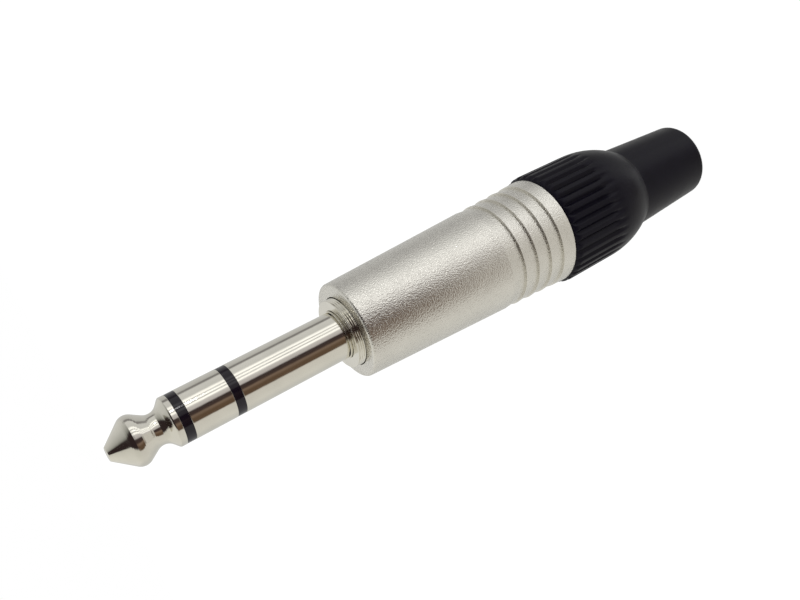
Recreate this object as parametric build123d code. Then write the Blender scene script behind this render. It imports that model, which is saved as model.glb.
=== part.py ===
from build123d import *
import os

# Stereo jack plug, 6.35 mm, standing on the end of its boot.
# Millimetres, +Z along the axis towards the tip, origin at the centre of the boot's end.

# Front of the plug: three contacts with an insulating washer between each two
SHANK_R = 6.35 / 2
TIP_LENGTH = 8.35
WASHER_THICKNESS = 1.15
WASHER_INSET = 0.015
RING_LENGTH = 5.45
SLEEVE_LENGTH = 14.6

# Nose of the tip: corners of its outline, as distances behind its flat end
NOSE_FLAT_R = 0.84
NOSE_EDGE = 0.25
CREST_BACK = 3.2
CREST_R = 3.49
CREST_ROUND = 1.39
NECK_BACK = 6.2
NECK_R = 1.59
NECK_ROUND = 1.42
SHOULDER_BACK = 7.6
SHOULDER_ROUND = 0.3
LAND_EDGE = 0.06

# Rod, tubes and washers that run back inside the shank
FIT = 0.02
ROD_R = 1.0
FRONT_TUBE_WALL = 0.48
RING_TUBE_WALL = 0.45
REAR_TUBE_WALL = 0.45
LIP_OUT = 0.35
LIP_LENGTH = 0.3
ROD_HEAD_R = 1.6
ROD_HEAD_LENGTH = 0.6
ROD_HEAD_EDGE = 0.35

# Collar of the sleeve contact, with its fine rings, and the flange behind it
BAND_R = 3.35
BAND_LENGTH = 0.3
BAND_GROOVE = 0.12
COLLAR_R = 4.65
COLLAR_PROUD = 1.05
COLLAR_FIT = 0.05
COLLAR_RINGS = 4
COLLAR_RING_PITCH = 0.24
COLLAR_RING_DEPTH = 0.1
COLLAR_LIP = 0.08
FLANGE_THICKNESS = 1.2
SPIGOT_R = 3.6

# Solder lugs and the block that keeps them apart
SHEET = 0.4
LUG_WIDTH = 2.2
LUG_REACH = 4.9
LUG_BEND = 0.6
LUG_HOLE_R = 0.55
LUG_HOLE_BACK = 1.3
LUG_END_ROUND = 0.99
LUG_CLEAR = 1.2
LUG_ANGLES = {"tip": 30, "ring": 150, "sleeve": 270}
RIB_TURN = 60
TIP_DISC_R = 2.4
RING_DISC_R = 2.8
SLEEVE_DISC_R = 4.2
BLOCK_THICKNESS = 3.3
RIB_LENGTH = 5.5
RIB_WIDTH = 0.8
INNER_WASHER_R = 3.4
INNER_WASHER_THICKNESS = 1.2
END_WASHER_R = 2.0
END_WASHER_THICKNESS = 0.3

# Shell
SHELL_FRONT_R = 6.5
SHELL_REAR_R = 7.78
SHELL_LENGTH = 33.1
SHELL_FRONT_WALL = 2.0
SHELL_FRONT_EDGE = 0.4
SHELL_REAR_EDGE = 0.15
BORE_R = 5.7
THREAD_BORE_R = 6.3
STEP_COUNT = 4
STEP_PITCH = 2.2
STEP_HEIGHT = 0.2
LINER_WALL = 0.4
LINER_LENGTH = 13.2

# Chuck that grips the cable
SLIDE_GAP = 0.1
CHUCK_GAP = 0.2
CHUCK_SEAT = 3.55
CHUCK_RING_LENGTH = 5.0
CHUCK_RING_WALL = 1.4
CHUCK_LENGTH = 24.8
JAW_R = 5.0
JAW_CONE_LENGTH = 5.6
JAW_CONE_DROP = 0.8
JAW_BORE_R = 3.75
JAW_TOOTH_HEIGHT = 0.25
JAW_TOOTH_PITCH = 1.6
JAW_TEETH = 4
SLOT_WIDTH = 0.9
SLOT_LENGTH = 15.5
KEY_WIDTH = 2.0
KEY_LENGTH = 2.5
KEY_HEIGHT = 0.4

# Bushing: threaded spigot, fluted grip and tapered boot in one moulding
SEAM_GAP = 0.1
TURN_GAP = 0.15
THREAD_ROOT_R = 6.05
THREAD_ENTRY = 0.3
GRIP_FRONT_R = 8.2
GRIP_LENGTH = 9.0
GRIP_DROP = 0.08
GRIP_FRONT_EDGE = 0.2
SHOULDER_LENGTH = 7.0
SHOULDER_END_R = 6.2
BARREL_LENGTH = 13.4
BARREL_END_R = 5.45
BARREL_END_EDGE = 0.8
CABLE_BORE_R = 3.55
CABLE_BORE_EDGE = 0.4
FLUTE_COUNT = 36
FLUTE_LENGTH = 8.6
FLUTE_R = 0.45
FLUTE_DEPTH = 0.3

# Heights of the seams, from the boot's end up to the tip
BUSHING_TOP = BARREL_LENGTH + SHOULDER_LENGTH + GRIP_LENGTH
SHELL_BOTTOM = BUSHING_TOP + SEAM_GAP
SHELL_TOP = SHELL_BOTTOM + SHELL_LENGTH
COLLAR_TOP = SHELL_TOP + COLLAR_PROUD
SLEEVE_BOTTOM = COLLAR_TOP + BAND_LENGTH
SLEEVE_TOP = SLEEVE_BOTTOM + SLEEVE_LENGTH
RING_BOTTOM = SLEEVE_TOP + WASHER_THICKNESS
RING_TOP = RING_BOTTOM + RING_LENGTH
LAND_BOTTOM = RING_TOP + WASHER_THICKNESS
TIP_TOP = LAND_BOTTOM + TIP_LENGTH

# Heights of what the shell holds, from its front wall back to the end of its thread
FLANGE_TOP = SHELL_TOP - SHELL_FRONT_WALL
FLANGE_BOTTOM = FLANGE_TOP - FLANGE_THICKNESS
BLOCK_TOP = FLANGE_BOTTOM - SHEET
BLOCK_BOTTOM = BLOCK_TOP - BLOCK_THICKNESS
RING_LUG_BOTTOM = BLOCK_BOTTOM - SHEET
INNER_WASHER_TOP = RING_LUG_BOTTOM - LIP_LENGTH
INNER_WASHER_BOTTOM = INNER_WASHER_TOP - INNER_WASHER_THICKNESS
TIP_LUG_BOTTOM = INNER_WASHER_BOTTOM - SHEET
END_WASHER_BOTTOM = TIP_LUG_BOTTOM - END_WASHER_THICKNESS
LINER_BOTTOM = FLANGE_BOTTOM - LINER_LENGTH
LUG_END = LINER_BOTTOM + LUG_CLEAR
CHUCK_TOP = LINER_BOTTOM - CHUCK_GAP
CHUCK_RING_BOTTOM = CHUCK_TOP - CHUCK_RING_LENGTH
CHUCK_BOTTOM = CHUCK_TOP - CHUCK_LENGTH
THREAD_TOP = CHUCK_RING_BOTTOM - CHUCK_SEAT

# Radii of the nested tubes, each a running fit inside the next
FRONT_TUBE_BORE_R = ROD_R + FIT
FRONT_TUBE_R = FRONT_TUBE_BORE_R + FRONT_TUBE_WALL
RING_TUBE_BORE_R = FRONT_TUBE_R + FIT
RING_TUBE_R = RING_TUBE_BORE_R + RING_TUBE_WALL
REAR_TUBE_BORE_R = RING_TUBE_R + FIT
REAR_TUBE_R = REAR_TUBE_BORE_R + REAR_TUBE_WALL
SLEEVE_BORE_R = REAR_TUBE_R + FIT
WASHER_R = SHANK_R - WASHER_INSET
FLANGE_R = BORE_R - SLIDE_GAP
LINER_R = BORE_R - FIT
LINER_BORE_R = LINER_R - LINER_WALL
BLOCK_R = LINER_BORE_R - SLIDE_GAP

# How solids stand on the height they are placed at
ON_FOOT = (Align.CENTER, Align.CENTER, Align.MIN)


def turned(*corners):
    """Solid turned about the axis from corners of (radius, height) or (radius, height, rounding)."""
    points = [(corner[0], 0, corner[1]) for corner in corners]
    rounds = [corner[2] if len(corner) > 2 else 0 for corner in corners]
    if any(rounds):
        outline = FilletPolyline(*points, radius=rounds, close=True)
    else:
        outline = Polyline(*points, close=True)
    return revolve(make_face(outline.edges()), Axis.Z)


def top_bevel(radius, height, size):
    """Two corners of a small bevel where an upper face meets an outer wall."""
    return (radius - size, height), (radius, height - size)


def foot_bevel(radius, height, size):
    """Two corners of a small bevel where an outer wall meets a lower face."""
    return (radius, height + size), (radius - size, height)


def washer(outer_r, bore_r, top, bottom):
    """Flat ring or plain tube between two heights."""
    return turned((bore_r, top), (outer_r, top), (outer_r, bottom), (bore_r, bottom))


def block(x_low, x_high, width, bottom, top):
    """Straight bar along X, centred on the XZ plane."""
    bar = Box(x_high - x_low, width, top - bottom, align=(Align.MIN, Align.CENTER, Align.MIN))
    return Pos(x_low, 0, bottom) * bar


def tip_contact():
    """Nose with its cone, crest and neck, and the rod that runs back to the tip's lug."""
    return turned(
        (0, TIP_TOP),
        (NOSE_FLAT_R, TIP_TOP, NOSE_EDGE),
        (CREST_R, TIP_TOP - CREST_BACK, CREST_ROUND),
        (NECK_R, TIP_TOP - NECK_BACK, NECK_ROUND),
        (SHANK_R, TIP_TOP - SHOULDER_BACK, SHOULDER_ROUND),
        *foot_bevel(SHANK_R, LAND_BOTTOM, LAND_EDGE),
        (ROD_R, LAND_BOTTOM),
        (ROD_R, END_WASHER_BOTTOM),
        (ROD_HEAD_R, END_WASHER_BOTTOM),
        *foot_bevel(ROD_HEAD_R, END_WASHER_BOTTOM - ROD_HEAD_LENGTH, ROD_HEAD_EDGE),
        (0, END_WASHER_BOTTOM - ROD_HEAD_LENGTH),
    )


def ring_contact():
    """Ring of the shank and its tube, spread into a lip under the ring's lug."""
    lip_r = RING_TUBE_R + LIP_OUT
    return turned(
        (RING_TUBE_BORE_R, RING_TOP),
        *top_bevel(SHANK_R, RING_TOP, LAND_EDGE),
        *foot_bevel(SHANK_R, RING_BOTTOM, LAND_EDGE),
        (RING_TUBE_R, RING_BOTTOM),
        (RING_TUBE_R, RING_LUG_BOTTOM),
        (lip_r, RING_LUG_BOTTOM),
        (lip_r, INNER_WASHER_TOP),
        (RING_TUBE_BORE_R, INNER_WASHER_TOP),
    )


def collar_rings():
    """Outline of the collar's fine rings, from its front lip back to the plain part."""
    corners = []
    start = COLLAR_TOP - COLLAR_LIP
    for index in range(COLLAR_RINGS):
        crest = start - index * COLLAR_RING_PITCH
        corners.append((COLLAR_R, crest))
        corners.append((COLLAR_R - COLLAR_RING_DEPTH, crest - COLLAR_RING_PITCH / 2))
    corners.append((COLLAR_R, start - COLLAR_RINGS * COLLAR_RING_PITCH))
    return corners


def sleeve_shank():
    """Sleeve of the shank with its groove, band, ringed collar, flange and rear spigot."""
    lip_r = SPIGOT_R + LIP_OUT
    return turned(
        (SLEEVE_BORE_R, SLEEVE_TOP),
        *top_bevel(SHANK_R, SLEEVE_TOP, LAND_EDGE),
        (SHANK_R, SLEEVE_BOTTOM + BAND_GROOVE),
        (SHANK_R - BAND_GROOVE, SLEEVE_BOTTOM),
        (BAND_R, SLEEVE_BOTTOM),
        (BAND_R, COLLAR_TOP),
        (COLLAR_R - COLLAR_LIP, COLLAR_TOP),
        *collar_rings(),
        (COLLAR_R, FLANGE_TOP),
        (FLANGE_R, FLANGE_TOP),
        (FLANGE_R, FLANGE_BOTTOM),
        (SPIGOT_R, FLANGE_BOTTOM),
        (SPIGOT_R, BLOCK_TOP),
        (lip_r, BLOCK_TOP),
        (lip_r, BLOCK_TOP - LIP_LENGTH),
        (SLEEVE_BORE_R, BLOCK_TOP - LIP_LENGTH),
    )


def solder_lug(top, disc_r, hole_r, angle):
    """Sheet disc with one leg bent back along the plug, rounded and pierced for a wire."""
    corners = (
        ((0, top), 0),
        ((LUG_REACH, top), LUG_BEND),
        ((LUG_REACH, LUG_END), 0),
        ((LUG_REACH - SHEET, LUG_END), 0),
        ((LUG_REACH - SHEET, top - SHEET), LUG_BEND - SHEET),
        ((0, top - SHEET), 0),
    )
    points = [(x, LUG_WIDTH / 2, z) for (x, z), _ in corners]
    outline = FilletPolyline(*points, radius=[rounding for _, rounding in corners], close=True)
    leg = extrude(make_face(outline.edges()), amount=LUG_WIDTH, dir=(0, -1, 0))
    end_edges = leg.edges().filter_by(Axis.X).group_by(Axis.Z)[0]
    leg = fillet(end_edges, min(LUG_END_ROUND, LUG_WIDTH / 2 - FIT))
    disc = Pos(0, 0, top - SHEET / 2) * Cylinder(disc_r, SHEET)
    hole = Pos(0, 0, top - SHEET / 2) * Cylinder(hole_r, 2 * SHEET)
    eye = Pos(LUG_REACH, 0, LUG_END + LUG_HOLE_BACK) * Rot(0, 90, 0) * Cylinder(LUG_HOLE_R, 4 * SHEET)
    return Rot(0, 0, angle) * (leg + disc - hole - eye)


def terminal_block():
    """Moulded block behind the flange, with ribs that part the lugs."""
    body = washer(BLOCK_R, REAR_TUBE_R + FIT, BLOCK_TOP, BLOCK_BOTTOM)
    lip_room = LIP_LENGTH + FIT
    body -= Pos(0, 0, BLOCK_TOP - lip_room / 2) * Cylinder(SPIGOT_R + LIP_OUT + FIT, lip_room)
    channel_width = LUG_WIDTH + 2 * SLIDE_GAP
    channel = block(LUG_REACH - 2 * SHEET, BLOCK_R + SHEET, channel_width, BLOCK_BOTTOM, BLOCK_TOP)
    body -= Rot(0, 0, LUG_ANGLES["sleeve"]) * channel
    rib_foot = BLOCK_BOTTOM - RIB_LENGTH
    rib = block(INNER_WASHER_R + SLIDE_GAP, BLOCK_R + SHEET, RIB_WIDTH, rib_foot, BLOCK_BOTTOM)
    rim = Pos(0, 0, rib_foot) * Cylinder(BLOCK_R, RIB_LENGTH, align=ON_FOOT)
    for angle in LUG_ANGLES.values():
        body += Rot(0, 0, angle + RIB_TURN) * rib & rim
    return body


def shell_r(height):
    """Radius of the shell's plain taper at a height."""
    share = (SHELL_TOP - height) / SHELL_LENGTH
    return SHELL_FRONT_R + (SHELL_REAR_R - SHELL_FRONT_R) * share


def shell_steps():
    """Outline of the ring steps: each dips towards the rear, then steps out sharply."""
    dip_start = SHELL_BOTTOM + (STEP_COUNT + 1) * STEP_PITCH
    corners = [(shell_r(dip_start), dip_start)]
    for index in range(STEP_COUNT, 0, -1):
        height = SHELL_BOTTOM + index * STEP_PITCH
        corners.append((shell_r(height) - STEP_HEIGHT, height))
        corners.append((shell_r(height), height))
    return corners


def shell():
    """Tapered housing with ring steps outside and bore, keyways and nut thread bore inside."""
    hole_r = COLLAR_R + COLLAR_FIT
    body = turned(
        (hole_r, SHELL_TOP),
        (SHELL_FRONT_R, SHELL_TOP, SHELL_FRONT_EDGE),
        *shell_steps(),
        *foot_bevel(SHELL_REAR_R, SHELL_BOTTOM, SHELL_REAR_EDGE),
        (THREAD_BORE_R, SHELL_BOTTOM),
        (THREAD_BORE_R, THREAD_TOP),
        (BORE_R, THREAD_TOP),
        (BORE_R, FLANGE_TOP),
        (hole_r, FLANGE_TOP),
    )
    reach = BORE_R + KEY_HEIGHT
    keyway = block(-reach, reach, KEY_WIDTH + 2 * SLIDE_GAP, THREAD_TOP, CHUCK_TOP)
    return body - keyway


def chuck():
    """Keyed ring with four toothed jaws that close on the cable as the bushing's cone comes up."""
    ring_r = BORE_R - SLIDE_GAP
    cone_top = CHUCK_BOTTOM + JAW_CONE_LENGTH
    first_tooth = CHUCK_BOTTOM + JAW_TOOTH_PITCH / 2
    teeth = []
    for index in range(JAW_TEETH):
        height = first_tooth + index * JAW_TOOTH_PITCH
        teeth.append((JAW_BORE_R - JAW_TOOTH_HEIGHT, height))
        teeth.append((JAW_BORE_R, height + JAW_TOOTH_PITCH / 2))
    body = turned(
        (ring_r - CHUCK_RING_WALL, CHUCK_TOP),
        (ring_r, CHUCK_TOP),
        (ring_r, CHUCK_RING_BOTTOM),
        (JAW_R, CHUCK_RING_BOTTOM),
        (JAW_R, cone_top),
        (JAW_R - JAW_CONE_DROP, CHUCK_BOTTOM),
        (JAW_BORE_R, CHUCK_BOTTOM),
        *teeth,
        (JAW_BORE_R, CHUCK_RING_BOTTOM),
        (ring_r - CHUCK_RING_WALL, CHUCK_RING_BOTTOM + CHUCK_RING_WALL),
    )
    key_reach = BORE_R + KEY_HEIGHT - SLIDE_GAP
    key_start = ring_r - CHUCK_RING_WALL / 2
    key = block(key_start, key_reach, KEY_WIDTH, CHUCK_TOP - KEY_LENGTH, CHUCK_TOP)
    for angle in (0, 180):
        body += Rot(0, 0, angle) * key
    slot = block(-JAW_R, JAW_R, SLOT_WIDTH, CHUCK_BOTTOM, CHUCK_BOTTOM + SLOT_LENGTH)
    for angle in (45, 135):
        body -= Rot(0, 0, angle) * slot
    return body


def bushing():
    """Spigot, fluted grip, round shoulder and tapered boot, bored for the cable."""
    spigot_top = THREAD_TOP - THREAD_ENTRY
    grip_bottom = BUSHING_TOP - GRIP_LENGTH
    grip_end_r = GRIP_FRONT_R - GRIP_DROP
    room_r = JAW_R + TURN_GAP
    cone_top = CHUCK_BOTTOM + JAW_CONE_LENGTH
    room_bottom = CHUCK_BOTTOM - TURN_GAP
    upper = Polyline(
        (room_r, 0, spigot_top),
        (THREAD_ROOT_R, 0, spigot_top),
        (THREAD_ROOT_R, 0, BUSHING_TOP),
        (GRIP_FRONT_R - GRIP_FRONT_EDGE, 0, BUSHING_TOP),
        (GRIP_FRONT_R, 0, BUSHING_TOP - GRIP_FRONT_EDGE),
        (grip_end_r, 0, grip_bottom),
    )
    shoulder = TangentArc(
        (grip_end_r, 0, grip_bottom),
        (SHOULDER_END_R, 0, BARREL_LENGTH),
        tangent=(0, 0, -1),
    )
    lower = FilletPolyline(
        (SHOULDER_END_R, 0, BARREL_LENGTH),
        (BARREL_END_R, 0, 0),
        (CABLE_BORE_R + CABLE_BORE_EDGE, 0, 0),
        (CABLE_BORE_R, 0, CABLE_BORE_EDGE),
        (CABLE_BORE_R, 0, room_bottom),
        (room_r - JAW_CONE_DROP, 0, room_bottom),
        (room_r, 0, cone_top),
        (room_r, 0, spigot_top),
        radius=[BARREL_END_EDGE, 0, 0, 0, 0, 0],
    )
    body = revolve(make_face(upper.edges() + shoulder.edges() + lower.edges()), Axis.Z)
    flute_axis_r = GRIP_FRONT_R - FLUTE_DEPTH + FLUTE_R
    flute_end = Pos(flute_axis_r, 0, BUSHING_TOP - FLUTE_LENGTH)
    flute = flute_end * Cylinder(FLUTE_R, 2 * FLUTE_LENGTH, align=ON_FOOT)
    flutes = [Rot(0, 0, index * 360 / FLUTE_COUNT) * flute for index in range(FLUTE_COUNT)]
    return body - flutes


def main():
    tube_foot = INNER_WASHER_BOTTOM
    nodes = {
        "tip_contact": tip_contact(),
        "front_washer": washer(WASHER_R, FRONT_TUBE_BORE_R, LAND_BOTTOM, RING_TOP),
        "front_tube": washer(FRONT_TUBE_R, FRONT_TUBE_BORE_R, RING_TOP, tube_foot),
        "ring_contact": ring_contact(),
        "rear_washer": washer(WASHER_R, REAR_TUBE_BORE_R, RING_BOTTOM, SLEEVE_TOP),
        "rear_tube": washer(REAR_TUBE_R, REAR_TUBE_BORE_R, SLEEVE_TOP, BLOCK_BOTTOM),
        "sleeve_shank": sleeve_shank(),
        "sleeve_lug": solder_lug(FLANGE_BOTTOM, SLEEVE_DISC_R, SPIGOT_R + FIT, LUG_ANGLES["sleeve"]),
        "terminal_block": terminal_block(),
        "ring_lug": solder_lug(BLOCK_BOTTOM, RING_DISC_R, RING_TUBE_R + FIT, LUG_ANGLES["ring"]),
        "inner_washer": washer(INNER_WASHER_R, FRONT_TUBE_R + FIT, INNER_WASHER_TOP, tube_foot),
        "tip_lug": solder_lug(INNER_WASHER_BOTTOM, TIP_DISC_R, ROD_R + FIT, LUG_ANGLES["tip"]),
        "end_washer": washer(END_WASHER_R, ROD_R + FIT, TIP_LUG_BOTTOM, END_WASHER_BOTTOM),
        "liner": washer(LINER_R, LINER_BORE_R, FLANGE_BOTTOM, LINER_BOTTOM),
        "shell": shell(),
        "chuck": chuck(),
        "bushing": bushing(),
    }
    os.makedirs("parts", exist_ok=True)
    for name, solid in nodes.items():
        export_step(solid, "parts/" + name + ".step")


main()
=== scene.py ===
import math

import bpy
import numpy as np
from bpy.props import FloatProperty, FloatVectorProperty, IntProperty, PointerProperty
from mathutils import Matrix, Vector


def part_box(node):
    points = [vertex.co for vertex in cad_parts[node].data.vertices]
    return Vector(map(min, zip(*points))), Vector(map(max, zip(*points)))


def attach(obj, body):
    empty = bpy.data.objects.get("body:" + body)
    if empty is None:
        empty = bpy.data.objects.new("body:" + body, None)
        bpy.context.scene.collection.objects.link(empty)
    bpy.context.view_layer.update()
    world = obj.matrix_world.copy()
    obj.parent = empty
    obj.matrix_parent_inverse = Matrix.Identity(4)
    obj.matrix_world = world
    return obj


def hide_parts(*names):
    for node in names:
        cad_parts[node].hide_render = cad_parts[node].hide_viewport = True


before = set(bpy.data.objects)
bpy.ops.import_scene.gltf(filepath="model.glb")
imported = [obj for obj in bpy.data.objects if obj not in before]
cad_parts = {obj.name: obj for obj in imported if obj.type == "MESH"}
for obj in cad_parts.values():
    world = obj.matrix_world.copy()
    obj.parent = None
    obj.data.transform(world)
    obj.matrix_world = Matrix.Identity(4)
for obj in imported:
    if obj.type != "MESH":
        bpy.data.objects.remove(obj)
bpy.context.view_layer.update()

bl_info = {
    "name": "Stereo jack plug",
    "version": (1, 0, 0),
    "blender": (4, 5, 0),
    "location": "3D View > Sidebar > Jack Plug",
    "description": "Finished surfaces of a stereo jack plug round its packed model",
    "category": "Add Mesh",
}

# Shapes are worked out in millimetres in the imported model's frame, then scaled to metres.
MM = 0.001


def lowest(node):
    """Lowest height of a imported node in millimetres."""
    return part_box(node)[0].z / MM


def highest(node):
    """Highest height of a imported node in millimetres."""
    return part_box(node)[1].z / MM


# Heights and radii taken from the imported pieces
TIP_TOP = highest("tip_contact")
ROD_END = lowest("tip_contact")
LAND_BOTTOM = highest("front_washer")
RING_TOP = lowest("front_washer")
RING_BOTTOM = highest("rear_washer")
SLEEVE_TOP = lowest("rear_washer")
RING_TUBE_END = lowest("ring_contact")
SLEEVE_END = lowest("sleeve_shank")
SHELL_TOP = highest("shell")
SHELL_BOTTOM = lowest("shell")
CHUCK_TOP = highest("chuck")
CHUCK_BOTTOM = lowest("chuck")
SPIGOT_TOP = highest("bushing")
SHANK_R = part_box("ring_contact")[1].x / MM
WASHER_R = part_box("front_washer")[1].x / MM

# Nose of the tip, as distances behind its flat end
NOSE_FLAT_R = 0.84
NOSE_EDGE = 0.25
CREST_BACK = 3.2
CREST_R = 3.49
CREST_ROUND = 1.39
NECK_BACK = 6.2
NECK_R = 1.59
NECK_ROUND = 1.42
SHOULDER_BACK = 7.6
SHOULDER_ROUND = 0.3
LAND_EDGE = 0.06
TURNED_EDGE = 0.04

# Rod, tubes and bores inside the shank
ROD_R = 1.0
ROD_HEAD_R = 1.6
ROD_HEAD_LENGTH = 0.6
ROD_HEAD_EDGE = 0.35
RING_TUBE_BORE_R = 1.52
RING_TUBE_R = 1.97
SLEEVE_BORE_R = 2.46
LIP_OUT = 0.35
LIP_LENGTH = 0.3
FRONT_BORE_R = 1.02
REAR_BORE_R = 1.99

# Band, collar and flange behind the sleeve
BAND_R = 3.35
BAND_LENGTH = 0.3
GROOVE_DEPTH = 0.35
GROOVE_WIDTH = 0.13
UNDERCUT = 0.2
UNDERCUT_WIDTH = 0.08
COLLAR_R = 4.65
COLLAR_PROUD = 1.05
COLLAR_LIP = 0.08
COLLAR_THREAD_LENGTH = 0.96
# The thread's points run this far into the shell's hole
COLLAR_THREAD_HIDDEN = 0.1
FLANGE_R = 5.6
FLANGE_THICKNESS = 1.2
SPIGOT_R = 3.6

# Shell
SHELL_FRONT_R = 6.5
SHELL_REAR_R = 7.78
SHELL_FRONT_WALL = 2.0
SHELL_FRONT_EDGE = 0.4
SHELL_REAR_EDGE = 0.15
HOLE_R = 4.76
BORE_R = 5.7
THREAD_BORE_R = 6.3
STEP_COUNT = 4
STEP_PITCH = 2.2
STEP_HEIGHT = 0.3
STEP_EDGE = 0.03
KEYWAY_R = 6.1
KEYWAY_WIDTH = 2.2
LEAST_COSINE = 0.5
# The pebbled skin reaches this many step heights down, fades out over SKIN_FADE at both ends,
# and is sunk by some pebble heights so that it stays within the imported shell.
SKIN_REACH = 2.2
SKIN_FADE = 0.4
SKIN_SINK = 1.5

# Bushing
SEAM_GAP = 0.1
BUSHING_TOP = SHELL_BOTTOM - SEAM_GAP
THREAD_ROOT_R = 6.05
THREAD_ENTRY = 0.3
GRIP_FRONT_R = 8.2
GRIP_LENGTH = 9.0
GRIP_END_R = 8.12
GRIP_FRONT_EDGE = 0.2
SHOULDER_LENGTH = 7.0
SHOULDER_END_R = 6.2
BARREL_END_R = 5.45
BARREL_END_EDGE = 0.8
CABLE_BORE_R = 3.55
CABLE_BORE_EDGE = 0.4
ROOM_R = 5.15
ROOM_END_R = 4.35
TURN_GAP = 0.15
JAW_CONE_LENGTH = 5.6
ROOM_BOTTOM = CHUCK_BOTTOM - TURN_GAP
ROOM_CONE_TOP = CHUCK_BOTTOM + JAW_CONE_LENGTH
SPIGOT_EDGE = 0.1
FLUTE_LENGTH = 8.6
FLUTE_FADE = 3.4
# The flutes are over within this length below the grip
FLUTE_RUN_OUT = 1.5
# Flutes are cut only where the radius is over this
FLUTED_R = 7.0
RIM_LENGTH = 0.55

# A thread's ridge is its top less its flank times the distance from its line in turns, kept
# between 0 and 1. The shell's ridges are narrower and lower than the bushing's.
RIDGE_FLANK = 7
BUSHING_RIDGE_TOP = 1.6
SHELL_RIDGE_TOP = 1.4
SHELL_RIDGE_SHARE = 0.85

# How finely surfaces are divided: the longest steps of outlines in millimetres, and the
# columns round the axis
SHANK_STEP = 1.0
SHANK_COLUMNS = 192
WASHER_STEP = 0.5
SLEEVE_COLUMNS = 256
COLLAR_TURN_STEPS = 8
SHELL_STEP = 0.24
SHELL_COLUMNS = 280
BUSHING_STEP = 0.25
FLUTE_COLUMNS = 10
SHOULDER_POINTS = 16
# Plain stretches of the shell and the bushing keep every sixth and every fourth point, apart
# from points near the keyways' end and points of steps shorter than SHORT_STEP
SHELL_STRIDE = 6
BUSHING_STRIDE = 4
KEYWAY_END_REACH = 0.2
SHORT_STEP = 0.2
ARC_STEP = math.radians(10)
EDGE_EASE = 0.03
SHARP_ANGLE = math.radians(38)
# Two sizes that differ by less than CLOSE millimetres are the same, and what lies within
# BESIDE millimetres of a thread or an end face belongs to it.
CLOSE = 0.001
BESIDE = 0.1


class PlugSizes(bpy.types.PropertyGroup):
    """Sizes of the fine relief on the plug's pieces."""

    collar_pitch: FloatProperty(
        name="Collar thread pitch", description="Pitch of the fine thread on the collar",
        default=0.3 * MM, unit="LENGTH",
    )
    collar_depth: FloatProperty(
        name="Collar thread depth", description="Depth of the fine thread on the collar",
        default=0.17 * MM, unit="LENGTH",
    )
    bushing_pitch: FloatProperty(
        name="Bushing thread pitch", description="Travel of the bushing in one turn",
        default=1.0 * MM, unit="LENGTH",
    )
    bushing_thread: FloatProperty(
        name="Bushing thread height", description="Height of the ridge on the bushing's spigot",
        default=0.17 * MM, unit="LENGTH",
    )
    flute_count: IntProperty(
        name="Flutes", description="Number of grooves round the bushing's grip", default=36,
    )
    flute_depth: FloatProperty(
        name="Flute depth", description="Depth of the grooves in the bushing's grip",
        default=0.4 * MM, unit="LENGTH",
    )
    flute_width: FloatProperty(
        name="Flute width", description="Width of the grooves in the bushing's grip",
        default=0.95 * MM, unit="LENGTH",
    )
    pebble_height: FloatProperty(
        name="Pebble height", description="Height of the shell's cast pebbles",
        default=0.0008 * MM, unit="LENGTH",
    )
    pebble_size: FloatProperty(
        name="Pebble size", description="Length from one pebble to the next",
        default=0.45 * MM, unit="LENGTH",
    )


class PlugFinishes(bpy.types.PropertyGroup):
    """Colours and gloss of the plug's finishes."""

    polished_nickel: FloatVectorProperty(
        name="Polished nickel", description="Colour of the turned and plated contacts",
        default=(0.80, 0.775, 0.70), subtype="COLOR",
    )
    satin_nickel: FloatVectorProperty(
        name="Satin nickel", description="Colour of the cast and plated shell",
        default=(0.80, 0.78, 0.725), subtype="COLOR",
    )
    tinned_sheet: FloatVectorProperty(
        name="Tinned sheet", description="Colour of the solder lugs",
        default=(0.74, 0.72, 0.68), subtype="COLOR",
    )
    black_insulator: FloatVectorProperty(
        name="Black insulator", description="Colour of the shank's insulating washers",
        default=(0.006, 0.0035, 0.0075), subtype="COLOR",
    )
    natural_insulator: FloatVectorProperty(
        name="Natural insulator", description="Colour of the inner insulators",
        default=(0.80, 0.78, 0.72), subtype="COLOR",
    )
    grey_plastic: FloatVectorProperty(
        name="Grey plastic", description="Colour of the chuck",
        default=(0.20, 0.20, 0.21), subtype="COLOR",
    )
    black_plastic: FloatVectorProperty(
        name="Black plastic", description="Colour of the moulded bushing",
        default=(0.003, 0.0022, 0.0065), subtype="COLOR",
    )
    polish: FloatProperty(
        name="Polish roughness", description="Roughness of the polished contacts",
        default=0.09, subtype="FACTOR",
    )
    satin: FloatProperty(
        name="Satin roughness", description="Roughness of the satin shell",
        default=0.27, subtype="FACTOR",
    )


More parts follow.
